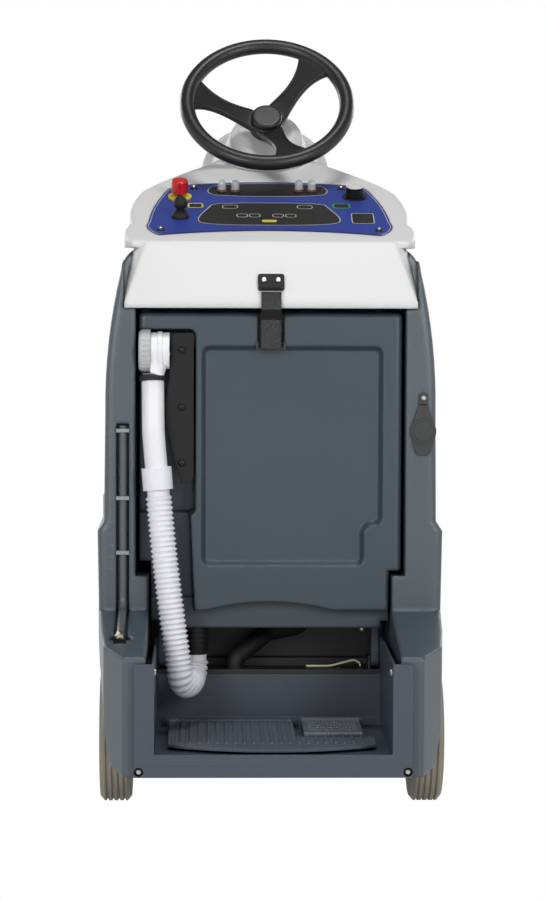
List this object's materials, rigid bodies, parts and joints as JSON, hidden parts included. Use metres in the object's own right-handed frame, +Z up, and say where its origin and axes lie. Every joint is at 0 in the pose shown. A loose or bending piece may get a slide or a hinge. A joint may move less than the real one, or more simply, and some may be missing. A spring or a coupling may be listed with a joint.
{
  "type": "stand-on floor scrubber",
  "caption": "Stand-on floor scrubber with a rear step, tip-out recovery tank, ribbed drain hose, sloping control panel, steering wheel, disc brush deck and rear squeegee.",
  "frame": {"origin": "on the floor, midway along and across the machine", "axes": "+X to the operator's right, +Y forwards, +Z up"},
  "size_m": [0.616, 1.27, 1.3166],
  "materials": {
    "body_plastic": "moulded, fine satin grain",
    "pale_plastic": "moulded, fine satin grain",
    "panel_blue": "satin overlay",
    "black_plastic": "satin",
    "black_rubber": "matt",
    "grey_rubber": "matt",
    "tyre": "non-marking, matt",
    "steel": "bright zinc",
    "frame_paint": "powder coat",
    "platform_paint": "fine textured powder coat",
    "aluminium": "cast",
    "hose_white": "soft white",
    "hub_grey": "satin",
    "red_plastic": "gloss",
    "yellow_plastic": "gloss",
    "clear_rubber": "clear boot",
    "clear_tube": "clear hose",
    "brass": "turned",
    "bristle": "nylon",
    "lead_cream": "matt"
  },
  "bodies": {
    "machine": {"chassis_frame": "frame_paint", "rear_axles": "steel", "main_body": "body_plastic", "front_shroud": "pale_plastic", "operator_platform": "platform_paint", "rear_bumper_strip": "black_plastic", "hinge_plate": "frame_paint", "batteries": "black_plastic", "vacuum_motor": "black_plastic", "vacuum_hose": "black_rubber", "lift_actuator": "aluminium", "steering_gearbox": "aluminium", "steering_column_tube": "frame_paint", "steering_cowl": "pale_plastic", "control_console": "pale_plastic", "control_panel": "panel_blue", "control_bezels": "yellow_plastic", "latch_keeper": "black_rubber", "filler_anchor": "grey_rubber", "level_tube": "clear_tube", "level_fittings": "brass", "wiring_lead": "lead_cream", "screws": "steel"},
    "tank": {"recovery_tank": "body_plastic", "drain_outlet": "black_rubber", "drain_hose": "hose_white", "drain_tube": "hose_white", "drain_elbow": "hub_grey", "hose_bracket": "black_plastic"},
    "cap": {"drain_cap": "hub_grey"},
    "latch": {"latch_strap": "black_rubber"},
    "steering": {"steering_wheel": "black_plastic", "steering_hub_cap": "hub_grey", "steering_shaft": "steel"},
    "fork": {"drive_fork": "frame_paint", "drive_motor": "frame_paint"},
    "drive_wheel": {"drive_hub": "aluminium", "drive_tyre": "tyre"},
    "rear_wheel_left": {"rear_tyre_left": "tyre", "rear_hub_left": "hub_grey"},
    "rear_wheel_right": {"rear_tyre_right": "tyre", "rear_hub_right": "hub_grey"},
    "deck": {"scrub_deck": "aluminium", "deck_skirt": "black_rubber", "brush_motor": "frame_paint", "actuator_rod": "steel"},
    "brush": {"disc_brush": "black_plastic", "brush_bristles": "bristle"},
    "squeegee": {"squeegee_body": "aluminium", "squeegee_blades": "grey_rubber"},
    "foot_plate": {"presence_plate": "platform_paint"},
    "pedal": {"drive_pedal": "black_plastic"},
    "stop_button": {"emergency_stop": "red_plastic"},
    "lever": {"direction_lever": "black_plastic"},
    "knob": {"speed_knob": "black_plastic"},
    "breaker_1": {"breaker_button_1": "clear_rubber"},
    "breaker_2": {"breaker_button_2": "clear_rubber"},
    "breaker_3": {"breaker_button_3": "clear_rubber"},
    "breaker_4": {"breaker_button_4": "clear_rubber"},
    "flap": {"filler_flap": "grey_rubber"}
  },
  "joints": [
    {"name": "steering_turn", "type": "hinge", "parent": "machine", "child": "steering", "pos_m": [0, 0, 1.193], "axis": [0, -0.7593, 0.6508], "range_deg": [-140, 140]},
    {"name": "fork_turn", "type": "hinge", "parent": "machine", "child": "fork", "pos_m": [0, 0.47, 0.6], "axis": [0, 0, 1], "range_deg": [-70, 70]},
    {"name": "drive_wheel_spin", "type": "hinge", "parent": "fork", "child": "drive_wheel", "pos_m": [0, 0.47, 0.115], "axis": [1, 0, 0], "continuous": true},
    {"name": "rear_left_spin", "type": "hinge", "parent": "machine", "child": "rear_wheel_left", "pos_m": [-0.259, -0.43, 0.115], "axis": [1, 0, 0], "continuous": true},
    {"name": "rear_right_spin", "type": "hinge", "parent": "machine", "child": "rear_wheel_right", "pos_m": [0.259, -0.43, 0.115], "axis": [1, 0, 0], "continuous": true},
    {"name": "deck_lift", "type": "slide", "parent": "machine", "child": "deck", "axis": [0, 0, 1], "range_m": [-0.033, 0]},
    {"name": "brush_spin", "type": "hinge", "parent": "deck", "child": "brush", "pos_m": [0, 0.02, 0.1], "axis": [0, 0, 1], "continuous": true},
    {"name": "squeegee_lift", "type": "slide", "parent": "machine", "child": "squeegee", "axis": [0, 0, 1], "range_m": [-0.02, 0]},
    {"name": "tank_tilt", "type": "hinge", "parent": "machine", "child": "tank", "pos_m": [0, -0.275, 0.215], "axis": [1, 0, 0], "range_deg": [0, 22]},
    {"name": "latch_swing", "type": "hinge", "parent": "tank", "child": "latch", "pos_m": [0, -0.359, 0.764], "axis": [1, 0, 0], "range_deg": [0, 120]},
    {"name": "drain_cap_turn", "type": "hinge", "parent": "tank", "child": "cap", "pos_m": [-0.204, -0.358, 0.755], "axis": [-1, 0, 0], "range_deg": [0, 330]},
    {"name": "flap_swing", "type": "hinge", "parent": "machine", "child": "flap", "pos_m": [0.259, -0.3753, 0.6627], "axis": [-1, 0, 0], "range_deg": [0, 95]},
    {"name": "foot_plate_press", "type": "hinge", "parent": "machine", "child": "foot_plate", "pos_m": [0, -0.312, 0.112], "axis": [1, 0, 0], "range_deg": [0, 0.9], "stiffness_Nm_per_rad": 900, "springref_deg": -0.57},
    {"name": "pedal_press", "type": "hinge", "parent": "machine", "child": "pedal", "pos_m": [0.105, -0.334, 0.117], "axis": [1, 0, 0], "range_deg": [0, 3], "stiffness_Nm_per_rad": 60, "springref_deg": -1.15},
    {"name": "stop_press", "type": "slide", "parent": "machine", "child": "stop_button", "axis": [0, 0.3502, -0.9367], "range_m": [0, 0.004], "stiffness_N_per_m": 2500, "springref_m": -0.001},
    {"name": "lever_rock", "type": "hinge", "parent": "machine", "child": "lever", "pos_m": [-0.155, -0.19823, 0.9849], "axis": [1, 0, 0], "range_deg": [-12, 12], "stiffness_Nm_per_rad": 1.5},
    {"name": "knob_turn", "type": "hinge", "parent": "machine", "child": "knob", "pos_m": [0.155, -0.09484, 1.02249], "axis": [0, -0.3502, 0.9367], "range_deg": [-135, 135]},
    {"name": "breaker_1_press", "type": "slide", "parent": "machine", "child": "breaker_1", "axis": [0, 0.3502, -0.9367], "range_m": [0, 0.002], "stiffness_N_per_m": 1500, "springref_m": -0.001},
    {"name": "breaker_2_press", "type": "slide", "parent": "machine", "child": "breaker_2", "axis": [0, 0.3502, -0.9367], "range_m": [0, 0.002], "stiffness_N_per_m": 1500, "springref_m": -0.001},
    {"name": "breaker_3_press", "type": "slide", "parent": "machine", "child": "breaker_3", "axis": [0, 0.3502, -0.9367], "range_m": [0, 0.002], "stiffness_N_per_m": 1500, "springref_m": -0.001},
    {"name": "breaker_4_press", "type": "slide", "parent": "machine", "child": "breaker_4", "axis": [0, 0.3502, -0.9367], "range_m": [0, 0.002], "stiffness_N_per_m": 1500, "springref_m": -0.001}
  ],
  "couplings": [
    {"joint": "fork_turn", "follows": "steering_turn", "ratio": 0.5}
  ]
}
